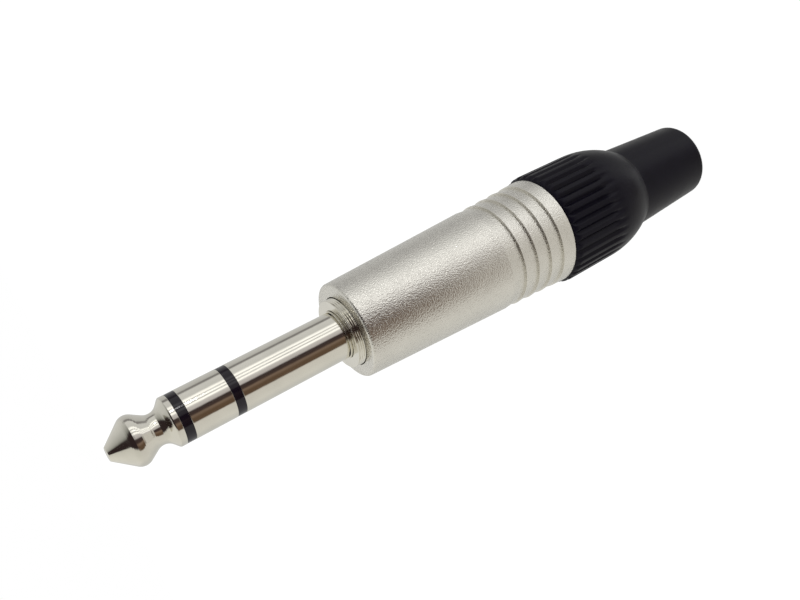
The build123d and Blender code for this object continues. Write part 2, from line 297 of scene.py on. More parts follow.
class PlugStage(bpy.types.PropertyGroup):
    """Camera, lamps and fill light of the photograph's studio."""

    lens: FloatProperty(
        name="Lens", description="Focal length of the camera, in millimetres on its sensor",
        default=39.46,
    )
    aim_height: FloatProperty(
        name="Aim height", description="Height on the plug's axis that the camera looks at",
        default=53.75 * MM, unit="LENGTH",
    )
    distance: FloatProperty(
        name="Distance", description="Distance from the camera to the point it looks at",
        default=115.3 * MM, unit="LENGTH",
    )
    elevation: FloatProperty(
        name="Elevation", description="Angle of the camera above the horizon",
        default=math.radians(25.0), unit="ROTATION",
    )
    pan: FloatProperty(
        name="Pan", description="Turn of the camera aside from the plug's axis",
        default=math.radians(0.18), unit="ROTATION",
    )
    roll: FloatProperty(
        name="Roll", description="Turn of the camera about its line of sight",
        default=math.radians(27.33), unit="ROTATION",
    )
    fill_level: FloatProperty(
        name="Fill level", description="Even light from all round on matte surfaces",
        default=0.55,
    )
    key_power: FloatProperty(
        name="Key lamp", description="Strength of the wide lamp above the picture's upper side",
        default=1.1,
    )
    rim_power: FloatProperty(
        name="Rim lamp", description="Strength of the wide lamp above the picture's lower side",
        default=0.6,
    )


# Finishes

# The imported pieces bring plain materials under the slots' own names.
FINISH_PREFIX = "finish_"
METAL = 1.0
PLASTIC = 0.0
# Grey noise lies mostly between these two levels, so that blends run from one to the other
GREY_LOW = 0.3
GREY_HIGH = 0.7
# Roughness, size and depth of the grain in millimetres, and specular level of each plastic
PLASTICS = {
    "black_insulator": (0.09, 0.5, 0.003, 0.4),
    "natural_insulator": (0.5, 0.3, 0.004, 0.5),
    "grey_plastic": (0.5, 0.2, 0.006, 0.5),
    "black_plastic": (0.34, 0.16, 0.006, 0.13),
}


def new_finish(name, colour, metallic, roughness):
    """Node tree, shader and Object coordinates of a new material."""
    material = bpy.data.materials.new(FINISH_PREFIX + name)
    material.use_nodes = True
    tree = material.node_tree
    shader = tree.nodes["Principled BSDF"]
    shader.inputs["Base Color"].default_value = (*colour, 1)
    shader.inputs["Metallic"].default_value = metallic
    shader.inputs["Roughness"].default_value = roughness
    coordinates = tree.nodes.new("ShaderNodeTexCoord").outputs["Object"]
    return tree, shader, coordinates


def noise(tree, coordinates, size, detail=2.0, stretch=(1, 1, 1)):
    """Grey noise whose grains are about size millimetres long, stretched along the axes."""
    mapping = tree.nodes.new("ShaderNodeMapping")
    mapping.inputs["Scale"].default_value = [1 / (size * MM * part) for part in stretch]
    texture = tree.nodes.new("ShaderNodeTexNoise")
    texture.inputs["Scale"].default_value = 1.0
    texture.inputs["Detail"].default_value = detail
    tree.links.new(coordinates, mapping.inputs["Vector"])
    tree.links.new(mapping.outputs["Vector"], texture.inputs["Vector"])
    return texture.outputs["Fac"]


def stain(tree, shader, colour, grey, dark, light=1.0):
    """Base colour that runs with grey noise from a dark share of a colour to a light one."""
    ramp = tree.nodes.new("ShaderNodeValToRGB")
    first, last = ramp.color_ramp.elements
    for element, position, share in ((first, GREY_LOW, dark), (last, GREY_HIGH, light)):
        element.position = position
        element.color = (*[part * share for part in colour], 1)
    tree.links.new(grey, ramp.inputs["Fac"])
    tree.links.new(ramp.outputs["Color"], shader.inputs["Base Color"])


def uneven_gloss(tree, shader, grey, low, high):
    """Roughness that runs with grey noise from low to high."""
    remap = tree.nodes.new("ShaderNodeMapRange")
    remap.inputs["From Min"].default_value = GREY_LOW
    remap.inputs["From Max"].default_value = GREY_HIGH
    remap.inputs["To Min"].default_value = low
    remap.inputs["To Max"].default_value = high
    tree.links.new(grey, remap.inputs["Value"])
    tree.links.new(remap.outputs["Result"], shader.inputs["Roughness"])


def relief(tree, shader, height, depth, under=None):
    """Bump of a depth in millimetres, laid over another bump where one is given."""
    bump = tree.nodes.new("ShaderNodeBump")
    bump.inputs["Strength"].default_value = 1.0
    bump.inputs["Distance"].default_value = depth * MM
    tree.links.new(height, bump.inputs["Height"])
    if under is not None:
        tree.links.new(under, bump.inputs["Normal"])
    tree.links.new(bump.outputs["Normal"], shader.inputs["Normal"])
    return bump.outputs["Normal"]


def polished_nickel(finishes):
    """Bright plating over turned metal: faint rings round the axis and soft stains."""
    colour = finishes.polished_nickel
    tree, shader, place = new_finish("polished_nickel", colour, METAL, finishes.polish)
    stain(tree, shader, colour, noise(tree, place, size=3.0, detail=3.0), dark=0.93)
    wipes = noise(tree, place, size=0.8, detail=3.0, stretch=(1, 1, 4))
    uneven_gloss(tree, shader, wipes, low=finishes.polish * 0.6, high=finishes.polish * 1.5)
    rings = noise(tree, place, size=0.14, detail=1.0, stretch=(60, 60, 1))
    turned_rings = relief(tree, shader, rings, depth=0.0012)
    ripples = noise(tree, place, size=1.1, detail=1.0)
    relief(tree, shader, ripples, depth=0.006, under=turned_rings)


def satin_nickel(finishes):
    """Satin plating over a cast skin with fine rounded pebbles."""
    colour = finishes.satin_nickel
    tree, shader, place = new_finish("satin_nickel", colour, METAL, finishes.satin)
    stain(tree, shader, colour, noise(tree, place, size=2.2, detail=3.0), dark=0.94)
    grain = noise(tree, place, size=0.18, detail=1.5)
    uneven_gloss(tree, shader, grain, low=finishes.satin * 0.85, high=finishes.satin * 1.15)
    relief(tree, shader, grain, depth=0.075)


def tinned_sheet(finishes):
    """Dull tin on brass sheet, drawn along its length."""
    colour = finishes.tinned_sheet
    tree, shader, place = new_finish("tinned_sheet", colour, METAL, roughness=0.32)
    clouds = noise(tree, place, size=0.6, detail=3.0)
    stain(tree, shader, colour, clouds, dark=0.82)
    uneven_gloss(tree, shader, clouds, low=0.22, high=0.42)
    relief(tree, shader, noise(tree, place, size=0.12, stretch=(1, 1, 8)), depth=0.003)


def moulded_plastic(name, colour, roughness, grain, depth, gloss_level):
    """Moulded plastic with a fine grain and slightly uneven gloss."""
    tree, shader, place = new_finish(name, colour, PLASTIC, roughness)
    shader.inputs["Specular IOR Level"].default_value = gloss_level
    clouds = noise(tree, place, size=1.6, detail=3.0)
    stain(tree, shader, colour, clouds, dark=0.85, light=1.1)
    uneven_gloss(tree, shader, clouds, low=roughness * 0.88, high=roughness * 1.12)
    relief(tree, shader, noise(tree, place, grain), depth)


def make_finishes(finishes):
    """All finishes, each named after the record's material slot."""
    polished_nickel(finishes)
    satin_nickel(finishes)
    tinned_sheet(finishes)
    for name, values in PLASTICS.items():
        moulded_plastic(name, getattr(finishes, name), *values)


def finish(name):
    """Finish by its slot's name; all are made when the first is asked for."""
    if FINISH_PREFIX + name not in bpy.data.materials:
        make_finishes(bpy.context.scene.plug_finishes)
    return bpy.data.materials[FINISH_PREFIX + name]


# Outlines and turned surfaces

def rounded(corners, closed=True):
    """Outline through corners of (radius, height, rounding).

    A rounding is an arc that touches the corner's two sides: its centre lies on the line that
    halves the corner, at rounding / sin(half the corner's angle).
    """
    points = []
    count = len(corners)
    for index, (radius, height, rounding) in enumerate(corners):
        corner = np.array((radius, height))
        at_end = not closed and index in (0, count - 1)
        if rounding == 0 or at_end:
            points.append(corner[None])
            continue
        before = np.array(corners[index - 1][:2]) - corner
        after = np.array(corners[(index + 1) % count][:2]) - corner
        before /= np.linalg.norm(before)
        after /= np.linalg.norm(after)
        half = 0.5 * math.acos(np.clip(before @ after, -1, 1))
        middle = before + after
        centre = corner + middle / np.linalg.norm(middle) * rounding / math.sin(half)
        start = corner + before * rounding / math.tan(half) - centre
        first = math.atan2(start[1], start[0])
        turn = math.pi - 2 * half
        if before[0] * after[1] - before[1] * after[0] > 0:
            turn = -turn
        steps = max(2, math.ceil(abs(turn) / ARC_STEP))
        angles = first + turn * np.linspace(0, 1, steps + 1)
        points.append(centre + rounding * np.stack([np.cos(angles), np.sin(angles)], axis=1))
    return np.concatenate(points)


def divided(outline, longest, closed=True):
    """Outline whose long sides are cut into equal steps, with a point close to each end.

    The close points keep a flat side's shading flat right up to its rounded edge.
    """
    ends = np.roll(outline, -1, axis=0) if closed else outline[1:]
    starts = outline if closed else outline[:-1]
    points = []
    for start, end in zip(starts, ends):
        length = np.linalg.norm(end - start)
        shares = np.array([0.0])
        if length > 4 * EDGE_EASE:
            count = max(2, math.ceil(length / longest) + 1)
            inner = np.linspace(EDGE_EASE, length - EDGE_EASE, count)
            shares = np.concatenate([shares, inner / length])
        points.append(start + (end - start) * shares[:, None])
    if not closed:
        points.append(outline[-1:])
    return np.concatenate(points)


def thinned(outline, plain, stride, needed):
    """Outline that keeps only every stride-th point of its plain stretches, and those needed."""
    return outline[~plain | needed | (np.arange(len(outline)) % stride == 0)]


def turned_mesh(name, outline, columns, shape=None, closed=True):
    """Closed mesh of an outline turned about the axis.

    Point (i, j) is outline point i, turned by 2 pi j / columns, so
    x = r cos(angle), y = r sin(angle) and z = height. shape(angle, radius, height) may give
    each point a new radius. The outline runs down the outside. An open one starts and ends on
    the axis, where its ends are single points with a fan of faces.
    """
    body = outline if closed else outline[1:-1]
    rows = len(body)
    angle = np.broadcast_to(np.arange(columns) * 2 * np.pi / columns, (rows, columns))
    radius = np.broadcast_to(body[:, :1], (rows, columns))
    height = np.broadcast_to(body[:, 1:], (rows, columns))
    if shape is not None:
        radius = shape(angle, radius, height)
    grid = np.stack([radius * np.cos(angle), radius * np.sin(angle), height], axis=-1)
    points = grid.reshape(-1, 3)
    row = np.arange(rows if closed else rows - 1)[:, None] * columns
    below = (row + columns) % (rows * columns)
    column = np.arange(columns)[None, :]
    beside = (column + 1) % columns
    faces = np.stack([row + column, below + column, below + beside, row + beside], axis=-1)
    faces = faces.reshape(-1, 4).tolist()
    if not closed:
        poles = np.array([(0, 0, outline[0, 1]), (0, 0, outline[-1, 1])])
        points = np.concatenate([points, poles])
        top = np.full(columns, rows * columns)
        last = (rows - 1) * columns
        faces += np.stack([top, column[0], beside[0]], axis=-1).tolist()
        faces += np.stack([top + 1, last + beside[0], last + column[0]], axis=-1).tolist()
    mesh = bpy.data.meshes.new(name)
    mesh.from_pydata((points * MM).tolist(), [], faces)
    mesh.shade_smooth()
    mesh.set_sharp_from_angle(angle=SHARP_ANGLE)
    return mesh


def add_object(name, data):
    """Object of a mesh, lamp or camera, linked into the scene."""
    holder = bpy.data.objects.new(name, data)
    bpy.context.scene.collection.objects.link(holder)
    return holder


def add_piece(mesh, slot, body, *nodes):
    """Object of a mesh with its finish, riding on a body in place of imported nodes."""
    piece = add_object(mesh.name, mesh)
    mesh.materials.append(finish(slot))
    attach(piece, body)
    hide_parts(*nodes)


def between(value, low, high, fade):
    """Share that is 1 between low and high and falls evenly to 0 over fade inside each end."""
    return np.clip(np.minimum(value - low, high - value) / fade, 0, 1)


def screw_phase(angle, height, pitch):
    """Place across a right-hand thread: 0 on its ridge, 0.5 midway to the next turn."""
    turns = height / pitch - angle / (2 * np.pi)
    return np.abs(turns - np.round(turns))


def ridge_share(distance, top):
    """Flat-topped ridge: 1 along its line and evenly down to 0 beside it."""
    return np.clip(top - distance * RIDGE_FLANK, 0, 1)


# Turned contacts

def tip_outline():
    """Nose with cone, crest and neck, and the rod with its peened head."""
    head_top = ROD_END + ROD_HEAD_LENGTH
    return (
        (0, TIP_TOP, 0),
        (NOSE_FLAT_R, TIP_TOP, NOSE_EDGE),
        (CREST_R, TIP_TOP - CREST_BACK, CREST_ROUND),
        (NECK_R, TIP_TOP - NECK_BACK, NECK_ROUND),
        (SHANK_R, TIP_TOP - SHOULDER_BACK, SHOULDER_ROUND),
        (SHANK_R, LAND_BOTTOM, LAND_EDGE),
        (ROD_R, LAND_BOTTOM, 0),
        (ROD_R, head_top, 0),
        (ROD_HEAD_R, head_top, 0),
        (ROD_HEAD_R, ROD_END, ROD_HEAD_EDGE),
        (0, ROD_END, 0),
    )


def ring_outline():
    """Ring of the shank with its tube and the lip that holds its lug."""
    lip_r = RING_TUBE_R + LIP_OUT
    lip_top = RING_TUBE_END + LIP_LENGTH
    return (
        (RING_TUBE_BORE_R, RING_TOP, 0),
        (SHANK_R, RING_TOP, LAND_EDGE),
        (SHANK_R, RING_BOTTOM, LAND_EDGE),
        (RING_TUBE_R, RING_BOTTOM, 0),
        (RING_TUBE_R, lip_top, 0),
        (lip_r, lip_top, TURNED_EDGE),
        (lip_r, RING_TUBE_END, TURNED_EDGE),
        (RING_TUBE_BORE_R, RING_TUBE_END, 0),
    )


def sleeve_outline():
    """Sleeve of the shank, groove, band, collar, flange and rear spigot."""
    collar_top = SHELL_TOP + COLLAR_PROUD
    sleeve_bottom = collar_top + BAND_LENGTH
    flange_top = SHELL_TOP - SHELL_FRONT_WALL
    flange_bottom = flange_top - FLANGE_THICKNESS
    lip_r = SPIGOT_R + LIP_OUT
    lip_top = SLEEVE_END + LIP_LENGTH
    return (
        (SLEEVE_BORE_R, SLEEVE_TOP, 0),
        (SHANK_R, SLEEVE_TOP, LAND_EDGE),
        (SHANK_R, sleeve_bottom + GROOVE_WIDTH, TURNED_EDGE),
        (SHANK_R - GROOVE_DEPTH, sleeve_bottom + GROOVE_WIDTH, 0),
        (SHANK_R - GROOVE_DEPTH, sleeve_bottom, 0),
        (BAND_R, sleeve_bottom, TURNED_EDGE),
        (BAND_R, collar_top + UNDERCUT_WIDTH, 0),
        (BAND_R - UNDERCUT, collar_top + UNDERCUT_WIDTH, 0),
        (BAND_R - UNDERCUT, collar_top, 0),
        (COLLAR_R, collar_top, COLLAR_LIP),
        (COLLAR_R, flange_top, 0),
        (FLANGE_R, flange_top, TURNED_EDGE),
        (FLANGE_R, flange_bottom, TURNED_EDGE),
        (SPIGOT_R, flange_bottom, 0),
        (SPIGOT_R, lip_top, 0),
        (lip_r, lip_top, TURNED_EDGE),
        (lip_r, SLEEVE_END, TURNED_EDGE),
        (SLEEVE_BORE_R, SLEEVE_END, 0),
    )


def collar_thread(sizes):
    """Radius rule that cuts the fine thread into the collar behind its front lip.

    The cut is a V: it is deepest midway between two turns and nothing on the ridge.
    """
    pitch = sizes.collar_pitch / MM
    depth = sizes.collar_depth / MM
    top = SHELL_TOP + COLLAR_PROUD - COLLAR_LIP

    def shape(angle, radius, height):
        share = between(height, top - COLLAR_THREAD_LENGTH, top, pitch / 2)
        share = share * (np.abs(radius - COLLAR_R) < COLLAR_LIP)
        return radius - depth * share * 2 * screw_phase(angle, height, pitch)

    return shape


class JACK_OT_contacts(bpy.types.Operator):
    """Turned tip, ring and sleeve of the shank"""

    bl_idname = "jack_plug.contacts"
    bl_label = "Contacts"

    def execute(self, context):
        sizes = context.scene.plug_sizes
        tip = divided(rounded(tip_outline(), closed=False), SHANK_STEP, closed=False)
        ring = divided(rounded(ring_outline()), SHANK_STEP)
        sleeve = divided(rounded(sleeve_outline()), SHANK_STEP)
        on_collar = np.flatnonzero(np.abs(sleeve[:, 0] - COLLAR_R) < CLOSE)
        step = sizes.collar_pitch / MM / COLLAR_TURN_STEPS
        top = SHELL_TOP + COLLAR_PROUD - COLLAR_LIP
        heights = np.arange(top, SHELL_TOP - COLLAR_THREAD_HIDDEN, -step)
        thread = np.stack([np.full(len(heights), COLLAR_R), heights], axis=1)
        sleeve = np.concatenate([sleeve[:on_collar[0]], thread, sleeve[on_collar[-1]:]])
        tip = turned_mesh("turned_tip", tip, SHANK_COLUMNS, closed=False)
        ring = turned_mesh("turned_ring", ring, SHANK_COLUMNS)
        sleeve = turned_mesh("turned_sleeve", sleeve, SLEEVE_COLUMNS, collar_thread(sizes))
        add_piece(tip, "polished_nickel", "plug_body", "tip_contact")
        add_piece(ring, "polished_nickel", "plug_body", "ring_contact")
        add_piece(sleeve, "polished_nickel", "plug_body", "sleeve_shank")
        return {"FINISHED"}


class JACK_OT_washers(bpy.types.Operator):
    """Black insulating washers between the contacts"""

    bl_idname = "jack_plug.washers"
    bl_label = "Washers"

    def execute(self, context):
        for name, node, top, bottom, bore in (
            ("front_insulator", "front_washer", LAND_BOTTOM, RING_TOP, FRONT_BORE_R),
            ("rear_insulator", "rear_washer", RING_BOTTOM, SLEEVE_TOP, REAR_BORE_R),
        ):
            outline = rounded((
                (bore, top, 0),
                (WASHER_R, top, TURNED_EDGE),
                (WASHER_R, bottom, TURNED_EDGE),
                (bore, bottom, 0),
            ))
            mesh = turned_mesh(name, divided(outline, WASHER_STEP), SHANK_COLUMNS)
            add_piece(mesh, "black_insulator", "plug_body", node)
        return {"FINISHED"}


# Shell

def shell_r(height):
    """Radius of the shell's plain taper at a height."""
    share = (SHELL_TOP - height) / (SHELL_TOP - SHELL_BOTTOM)
    return SHELL_FRONT_R + (SHELL_REAR_R - SHELL_FRONT_R) * share


def shell_outline():
    """Taper with its ring steps outside; bore, keyway ends and thread bore inside."""
    dip_start = SHELL_BOTTOM + (STEP_COUNT + 1) * STEP_PITCH
    steps = [(shell_r(dip_start), dip_start, 0)]
    for index in range(STEP_COUNT, 0, -1):
        height = SHELL_BOTTOM + index * STEP_PITCH
        steps.append((shell_r(height) - STEP_HEIGHT, height, STEP_EDGE / 2))
        steps.append((shell_r(height), height, STEP_EDGE))
    thread_top = SPIGOT_TOP + THREAD_ENTRY
    flange_top = SHELL_TOP - SHELL_FRONT_WALL
    return (
        (HOLE_R, SHELL_TOP, TURNED_EDGE),
        (SHELL_FRONT_R, SHELL_TOP, SHELL_FRONT_EDGE),
        *steps,
        (SHELL_REAR_R, SHELL_BOTTOM, SHELL_REAR_EDGE),
        (THREAD_BORE_R, SHELL_BOTTOM, 0),
        (THREAD_BORE_R, thread_top, 0),
        (BORE_R, thread_top, 0),
        (BORE_R, CHUCK_TOP, 0),
        (BORE_R, flange_top, 0),
        (HOLE_R, flange_top, 0),
    )


def pebbles(angle, height, size, seed=5):
    """Cast skin: the sum of many waves of random direction and phase, each about size long.

    Every wave has a whole number of crests round the shell, so the skin closes on itself. The
    sum is divided by the square root of half the waves, which gives it a spread of 1.
    """
    random = np.random.default_rng(seed)
    waves = 90
    shortest, longest = 0.8, 1.5
    lengths = size * random.uniform(shortest, longest, waves)
    directions = random.uniform(0, np.pi, waves)
    phases = random.uniform(0, 2 * np.pi, waves)
    mean_r = (SHELL_FRONT_R + SHELL_REAR_R) / 2
    crests = np.round(np.cos(directions) * 2 * np.pi * mean_r / lengths)
    climbs = np.sin(directions) * 2 * np.pi / lengths
    total = np.zeros(angle.shape)
    for crest, climb, phase in zip(crests, climbs, phases):
        total += np.cos(crest * angle + climb * height + phase)
    return total / math.sqrt(waves / 2)


def shell_shape(sizes):
    """Radius rule of the shell: pebbled skin outside, keyways and thread inside.

    A keyway is a flat floor at KEYWAY_R, so its radius is KEYWAY_R / cos(angle) within its
    width. The cosine is held at LEAST_COSINE or more, which changes nothing in a keyway. The
    thread is a ridge into the bore, midway between the bushing's own ridges.
    """
    pitch = sizes.bushing_pitch / MM
    ridge = sizes.bushing_thread / MM
    size = sizes.pebble_size / MM
    lift = sizes.pebble_height / MM
    thread_top = SPIGOT_TOP + THREAD_ENTRY

    def shape(angle, radius, height):
        skin = radius > shell_r(height) - SKIN_REACH * STEP_HEIGHT
        skin = skin * between(height, SHELL_BOTTOM, SHELL_TOP - SHELL_FRONT_EDGE, SKIN_FADE)
        skinned = radius + lift * skin * (pebbles(angle, height, size) - SKIN_SINK)
        in_bore = (radius > BORE_R - CLOSE) & (radius < THREAD_BORE_R - CLOSE)
        in_bore = in_bore & (height <= CHUCK_TOP) & (height > thread_top - CLOSE)
        across = np.abs(np.sin(angle)) * KEYWAY_R < KEYWAY_WIDTH / 2
        cosine = np.maximum(np.abs(np.cos(angle)), LEAST_COSINE)
        floor = np.maximum(KEYWAY_R / cosine, radius)
        keyed = np.where(in_bore & across, floor, skinned)
        in_thread = np.abs(radius - THREAD_BORE_R) < CLOSE
        share = in_thread * between(height, SHELL_BOTTOM, thread_top, pitch / 2)
        place = 0.5 - screw_phase(angle, height, pitch)
        return keyed - ridge * SHELL_RIDGE_SHARE * share * ridge_share(place, SHELL_RIDGE_TOP)

    return shape


class JACK_OT_shell(bpy.types.Operator):
    """Cast shell with its ring steps and pebbled skin"""

    bl_idname = "jack_plug.shell"
    bl_label = "Shell"

    def execute(self, context):
        outline = divided(rounded(shell_outline()), SHELL_STEP)
        radius, height = outline.T
        plain = (radius < THREAD_BORE_R - BESIDE) & (height < SHELL_TOP - BESIDE)
        keyway_end = np.abs(height - CHUCK_TOP) < KEYWAY_END_REACH
        outline = thinned(outline, plain, SHELL_STRIDE, keyway_end)
        shape = shell_shape(context.scene.plug_sizes)
        mesh = turned_mesh("cast_shell", outline, SHELL_COLUMNS, shape)
        add_piece(mesh, "satin_nickel", "plug_body", "shell")
        return {"FINISHED"}


# Bushing

def shoulder_arc():
    """Round shoulder: an arc that leaves the grip straight down and meets the barrel's top.

    With a drop of d over a height of h, its radius is (d * d + h * h) / (2 * d).
    """
    grip_bottom = BUSHING_TOP - GRIP_LENGTH
    drop = GRIP_END_R - SHOULDER_END_R
    radius = (drop ** 2 + SHOULDER_LENGTH ** 2) / (2 * drop)
    angles = np.linspace(0, math.asin(SHOULDER_LENGTH / radius), SHOULDER_POINTS)
    return [
        (GRIP_END_R - radius + radius * math.cos(angle), grip_bottom - radius * math.sin(angle), 0)
        for angle in angles
    ]


def bushing_outline():
    """Threaded spigot, grip, shoulder and barrel outside; cable bore and chuck's room inside."""
    return (
        (ROOM_R, SPIGOT_TOP, SPIGOT_EDGE),
        (THREAD_ROOT_R, SPIGOT_TOP, SPIGOT_EDGE),
        (THREAD_ROOT_R, BUSHING_TOP, 0),
        (GRIP_FRONT_R, BUSHING_TOP, GRIP_FRONT_EDGE),
        *shoulder_arc(),
        (BARREL_END_R, 0, BARREL_END_EDGE),
        (CABLE_BORE_R, 0, CABLE_BORE_EDGE),
        (CABLE_BORE_R, ROOM_BOTTOM, 0),
        (ROOM_END_R, ROOM_BOTTOM, 0),
        (ROOM_R, ROOM_CONE_TOP, 0),
    )


def bushing_shape(sizes):
    """Radius rule of the bushing: flutes in the grip and a thread on the spigot.

    A flute's depth falls with the distance d from its middle line as (1 + cos(pi d / w)) / 2,
    where w is half its width. Round its end it fades along the axis as t t (3 - 2 t), with t
    the share of the fade's length. At the front rim a bevel takes the ridges down to the
    flutes' floor. The thread is a flat-topped ridge round the spigot.
    """
    pitch = sizes.bushing_pitch / MM
    ridge = sizes.bushing_thread / MM
    depth = sizes.flute_depth / MM
    half_width = sizes.flute_width / MM / 2
    spacing = 2 * np.pi / sizes.flute_count
    flute_end = BUSHING_TOP - FLUTE_LENGTH

    def shape(angle, radius, height):
        aside = np.abs(angle / spacing - np.round(angle / spacing)) * spacing * GRIP_FRONT_R
        share = np.clip(aside / half_width, 0, 1)
        along = np.clip((height - flute_end) / FLUTE_FADE + 0.5, 0, 1)
        outside = np.clip(radius - FLUTED_R, 0, 1) * (height < BUSHING_TOP + CLOSE)
        cut = outside * along * along * (3 - 2 * along)
        bevel = np.clip(1 - (BUSHING_TOP - height) / RIM_LENGTH, 0, 1)
        fluted = radius - depth * cut * np.maximum(0.5 + 0.5 * np.cos(np.pi * share), bevel)
        on_spigot = np.abs(radius - THREAD_ROOT_R) < CLOSE
        reach = on_spigot * between(height, BUSHING_TOP + pitch / 2, SPIGOT_TOP, pitch / 2)
        place = screw_phase(angle, height, pitch)
        return fluted + ridge * reach * ridge_share(place, BUSHING_RIDGE_TOP)

    return shape


class JACK_OT_bushing(bpy.types.Operator):
    """Moulded bushing with its thread, fluted grip and boot"""

    bl_idname = "jack_plug.bushing"
    bl_label = "Bushing"

    def execute(self, context):
        sizes = context.scene.plug_sizes
        outline = divided(rounded(bushing_outline()), BUSHING_STEP)
        radius, height = outline.T
        fluted_bottom = BUSHING_TOP - GRIP_LENGTH - FLUTE_RUN_OUT
        plain = (radius < THREAD_ROOT_R - BESIDE) | (height < fluted_bottom)
        lengths = np.linalg.norm(np.diff(outline, axis=0), axis=1)
        short = np.append(lengths < SHORT_STEP, True)
        outline = thinned(outline, plain, BUSHING_STRIDE, short)
        columns = FLUTE_COLUMNS * sizes.flute_count
        mesh = turned_mesh("moulded_bushing", outline, columns, bushing_shape(sizes))
        add_piece(mesh, "black_plastic", "bushing", "bushing")
        return {"FINISHED"}


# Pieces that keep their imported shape

INNER_FINISHES = {
    "front_tube": "natural_insulator",
    "rear_tube": "natural_insulator",
    "terminal_block": "natural_insulator",
    "inner_washer": "natural_insulator",
    "liner": "natural_insulator",
    "sleeve_lug": "tinned_sheet",
    "ring_lug": "tinned_sheet",
    "tip_lug": "tinned_sheet",
    "end_washer": "tinned_sheet",
    "chuck": "grey_plastic",
}


class JACK_OT_inner_parts(bpy.types.Operator):
    """Finishes of the insulators, lugs and chuck inside the plug"""

    bl_idname = "jack_plug.inner_parts"
    bl_label = "Inner parts"

    def execute(self, context):
        for node, slot in INNER_FINISHES.items():
            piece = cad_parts[node]
            piece.data.materials.clear()
            piece.data.materials.append(finish(slot))
        return {"FINISHED"}


# Stage

# Cards of the light tent round the plug, which only polished surfaces see: angle from the
# camera's side towards the photograph's lower right, and the card's colour. The low cards
# show on the straight shank; the high ones, towards the tip, show on the nose.
LOW_CARDS = (
    (-180, (0.62, 0.62, 0.61)),
    (-140, (0.62, 0.62, 0.61)),
    (-112, (0.55, 0.55, 0.54)),
    (-104, (0.24, 0.23, 0.23)),
    (-97, (0.26, 0.25, 0.25)),
    (-90, (0.72, 0.72, 0.71)),
    (-62, (0.68, 0.68, 0.67)),
    (-54, (1.35, 1.35, 1.33)),
    (-49, (1.35, 1.35, 1.33)),
    (-45, (0.46, 0.45, 0.45)),
    (-41, (1.35, 1.35, 1.33)),
    (-36, (1.35, 1.35, 1.33)),
    (-32, (0.42, 0.41, 0.41)),
    (-28, (1.35, 1.35, 1.33)),
    (-23, (1.35, 1.35, 1.33)),
    (-18, (0.66, 0.64, 0.64)),
    (-4, (0.55, 0.52, 0.52)),
    (1, (0.05, 0.035, 0.035)),
    (15, (0.06, 0.040, 0.034)),
    (23, (0.22, 0.155, 0.115)),
    (34, (0.13, 0.083, 0.052)),
    (49, (0.12, 0.076, 0.048)),
    (54, (0.70, 0.68, 0.64)),
    (100, (0.74, 0.73, 0.69)),
    (135, (0.64, 0.64, 0.62)),
    (180, (0.62, 0.62, 0.61)),
)
HIGH_CARDS = (
    (-180, (0.80, 0.80, 0.78)),
    (-110, (0.62, 0.62, 0.60)),
    (-70, (0.42, 0.42, 0.40)),
    (-52, (0.26, 0.26, 0.24)),
    (-40, (0.06, 0.05, 0.05)),
    (-32, (0.03, 0.02, 0.02)),
    (38, (0.03, 0.02, 0.02)),
    (50, (0.66, 0.65, 0.60)),
    (110, (0.78, 0.77, 0.72)),
    (180, (0.80, 0.80, 0.78)),
)
CARDS_MEET = 0.14
CARDS_FADE = 0.10
TENT_R = 0.4
TENT_TOP = 3.0
TENT_BOTTOM = -2.0
CARD_COLUMNS = 97
# A near card that lightens the shell's rear, from nothing at its upper end, and a small lamp
# for the gloss on the front washer: radius, ends round the plug and ends in height
NEAR_R = 0.036
NEAR_TURN = (-8, 66)
NEAR_HEIGHTS = (-0.05, 0.047)
NEAR_FULL = 0.018
NEAR_COLOUR = (0.66, 0.64, 0.60)
SPOT_R = 0.39
SPOT_TURN = (-42, -36)
SPOT_HEIGHTS = (0.0225, 0.0265)
SPOT_CLEAR = 0.04
SPOT_POWER = 24.0
# The floor lies this far below the boot's end, so that the bushing can screw out. The camera
# sees its own glow for the most part, and its lit paper for the rest.
FLOOR_DROP = 0.007
FLOOR_HALF = 1.5
PAPER_GREY = 0.95
PAPER_ROUGHNESS = 0.9
PAPER_GLOW = 1.12
GLOW_SHARE = 0.8
# Lamps for matte surfaces: the way their light travels, and how wide they look
KEY_DIRECTION = (-0.45, 0.55, -0.7)
RIM_DIRECTION = (0.75, 0.3, -0.6)
LAMP_WIDTH = math.radians(60)


def emission(tree, colour=None, strength=1.0):
    """Emission shader, with a constant colour or one set by a link."""
    node = tree.nodes.new("ShaderNodeEmission")
    node.inputs["Strength"].default_value = strength
    if colour is not None:
        node.inputs["Color"].default_value = (*colour, 1)
    return node


def mixed(tree, share, first, second):
    """Shader that runs from the first to the second with a share."""
    mix = tree.nodes.new("ShaderNodeMixShader")
    tree.links.new(share, mix.inputs["Fac"])
    tree.links.new(first, mix.inputs[1])
    tree.links.new(second, mix.inputs[2])
    return mix.outputs["Shader"]


def share_between(tree, value, start, end):
    """Share that runs from 0 to 1 while a value runs from start to end."""
    remap = tree.nodes.new("ShaderNodeMapRange")
    remap.inputs["From Min"].default_value = start
    remap.inputs["From Max"].default_value = end
    tree.links.new(value, remap.inputs["Value"])
    return remap.outputs["Result"]


def card_material(name):
    """New card's material, its empty node tree, and its Object coordinates as X, Y and Z."""
    material = bpy.data.materials.new(name)
    material.use_nodes = True
    tree = material.node_tree
    tree.nodes.clear()
    place = tree.nodes.new("ShaderNodeTexCoord")
    parts = tree.nodes.new("ShaderNodeSeparateXYZ")
    tree.links.new(place.outputs["Object"], parts.inputs["Vector"])
    return material, tree, parts.outputs


